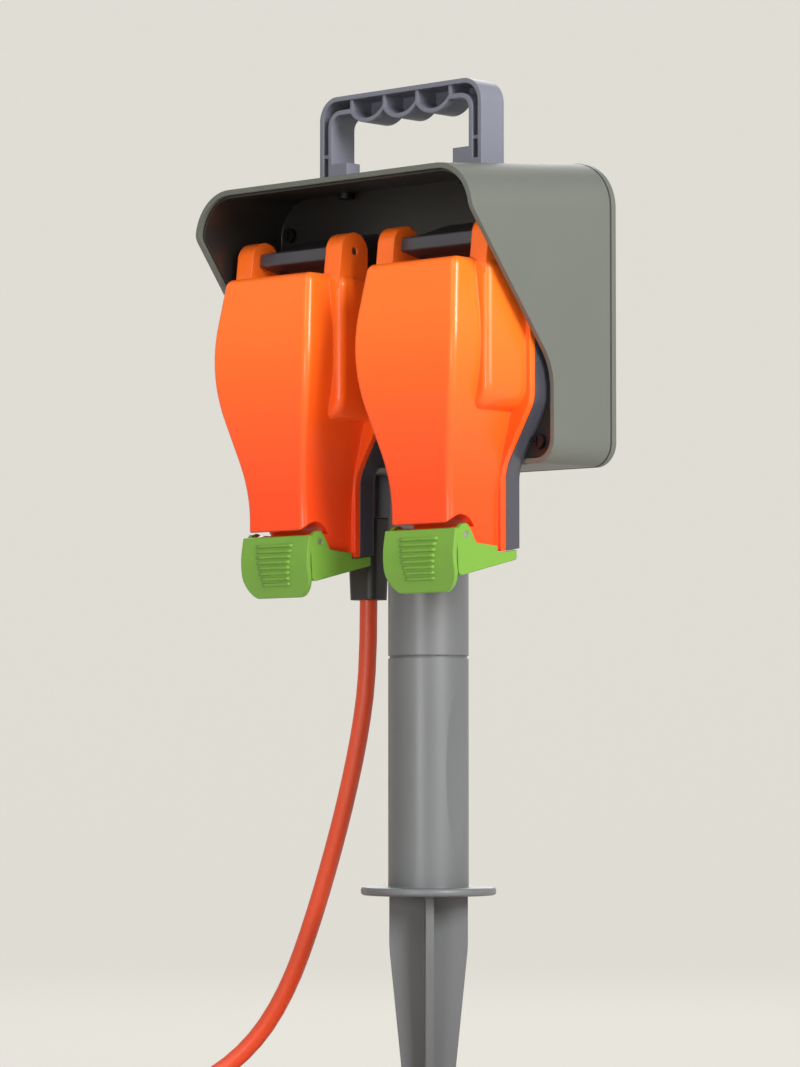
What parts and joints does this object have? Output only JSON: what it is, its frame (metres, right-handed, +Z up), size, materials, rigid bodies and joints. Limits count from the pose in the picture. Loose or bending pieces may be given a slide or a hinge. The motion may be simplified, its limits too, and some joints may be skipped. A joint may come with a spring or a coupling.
{
  "type": "garden socket spike",
  "caption": "Outdoor mains outlet post on a ground spike: hooded box with hinged, latched, sealed lids over its sockets, carrying handle, tube stem and long supply cord.",
  "frame": {"origin": "middle of the flange's underside on the stem's axis, at soil level", "axes": "+Z up along the stem, -Y the front where the lids open, +X to the right seen from the front"},
  "size_m": [0.2214, 0.2214, 0.505],
  "materials": {
    "hood_plastic": "satin moulded",
    "handle_plastic": "satin moulded",
    "stem_plastic": "satin moulded",
    "black_plastic": "semi-gloss moulded",
    "base_plastic": "gloss moulded",
    "lid_plastic": "gloss moulded",
    "latch_plastic": "gloss moulded",
    "seal_rubber": "matt",
    "socket_plastic": "satin moulded",
    "shutter_plastic": "satin moulded",
    "screw_steel": "bright zinc",
    "pin_steel": "ground",
    "spring_steel": "drawn wire",
    "contact_brass": "stamped",
    "cord_sheath": "extruded",
    "core_brown": "extruded",
    "core_blue": "extruded",
    "core_green_yellow": "extruded",
    "relief_rubber": "moulded",
    "plug_plastic": "moulded",
    "fuse_ceramic": "glazed ceramic",
    "tie_fabric": "woven hook tape"
  },
  "bodies": {
    "root": {"back_cover": "hood_plastic", "coil_ties": "tie_fabric", "cord_clamp": "black_plastic", "cord_clamp_screws": "screw_steel", "cord_coil": "cord_sheath", "cord_drop": "cord_sheath", "cord_gland": "base_plastic", "cord_inlet": "cord_sheath", "cord_tail": "cord_sheath", "core_earth": "core_green_yellow", "core_live": "core_brown", "core_neutral": "core_blue", "earth_bar": "contact_brass", "front_panel": "black_plastic", "handle": "handle_plastic", "handle_screws": "screw_steel", "hinge_pin_left": "pin_steel", "hinge_pin_right": "pin_steel", "housing": "hood_plastic", "housing_screws": "screw_steel", "live_bar": "contact_brass", "neutral_bar": "contact_brass", "outlet_screws": "screw_steel", "panel_seal": "seal_rubber", "plug_body": "plug_plastic", "plug_pin_earth": "contact_brass", "plug_pin_live": "contact_brass", "plug_pin_neutral": "contact_brass", "plug_strain_relief": "plug_plastic", "shutter_spring_left": "spring_steel", "shutter_spring_right": "spring_steel", "socket_back_left": "socket_plastic", "socket_back_right": "socket_plastic", "socket_base_left": "base_plastic", "socket_base_right": "base_plastic", "socket_face_left": "socket_plastic", "socket_face_right": "socket_plastic", "spike": "stem_plastic", "stem_lock_screw": "screw_steel", "stem_screws": "screw_steel", "stem_tube": "stem_plastic", "strain_relief": "relief_rubber", "terminal_screws": "screw_steel"},
    "lid_left": {"lid_left": "lid_plastic", "lid_seal_left": "seal_rubber", "latch_pin_left": "pin_steel"},
    "latch_left": {"latch_left": "latch_plastic"},
    "shutter_left": {"shutter_left": "shutter_plastic"},
    "lid_right": {"lid_right": "lid_plastic", "lid_seal_right": "seal_rubber", "latch_pin_right": "pin_steel"},
    "latch_right": {"latch_right": "latch_plastic"},
    "shutter_right": {"shutter_right": "shutter_plastic"},
    "fuse_carrier": {"plug_fuse_carrier": "plug_plastic", "plug_fuse": "fuse_ceramic"}
  },
  "joints": [
    {"name": "lid_left_hinge", "type": "hinge", "parent": "root", "child": "lid_left", "pos_m": [-0.0415, -0.034, 0.27], "axis": [-1, 0, 0], "range_deg": [0, 85]},
    {"name": "latch_left_hinge", "type": "hinge", "parent": "lid_left", "child": "latch_left", "pos_m": [-0.0415, -0.043, 0.148], "axis": [-1, 0, 0], "range_deg": [0, 55]},
    {"name": "shutter_left_slide", "type": "slide", "parent": "root", "child": "shutter_left", "axis": [0, 0, -1], "range_m": [0, 0.006], "stiffness_N_per_m": 40, "springref_m": -0.003, "deforming": ["shutter_spring_left"]},
    {"name": "lid_right_hinge", "type": "hinge", "parent": "root", "child": "lid_right", "pos_m": [0.0415, -0.034, 0.27], "axis": [-1, 0, 0], "range_deg": [0, 85]},
    {"name": "latch_right_hinge", "type": "hinge", "parent": "lid_right", "child": "latch_right", "pos_m": [0.0415, -0.043, 0.148], "axis": [-1, 0, 0], "range_deg": [0, 55]},
    {"name": "shutter_right_slide", "type": "slide", "parent": "root", "child": "shutter_right", "axis": [0, 0, -1], "range_m": [0, 0.006], "stiffness_N_per_m": 40, "springref_m": -0.003, "deforming": ["shutter_spring_right"]},
    {"name": "fuse_carrier_slide", "type": "slide", "parent": "root", "child": "fuse_carrier", "axis": [0, 0, 1], "range_m": [0, 0.012]}
  ]
}
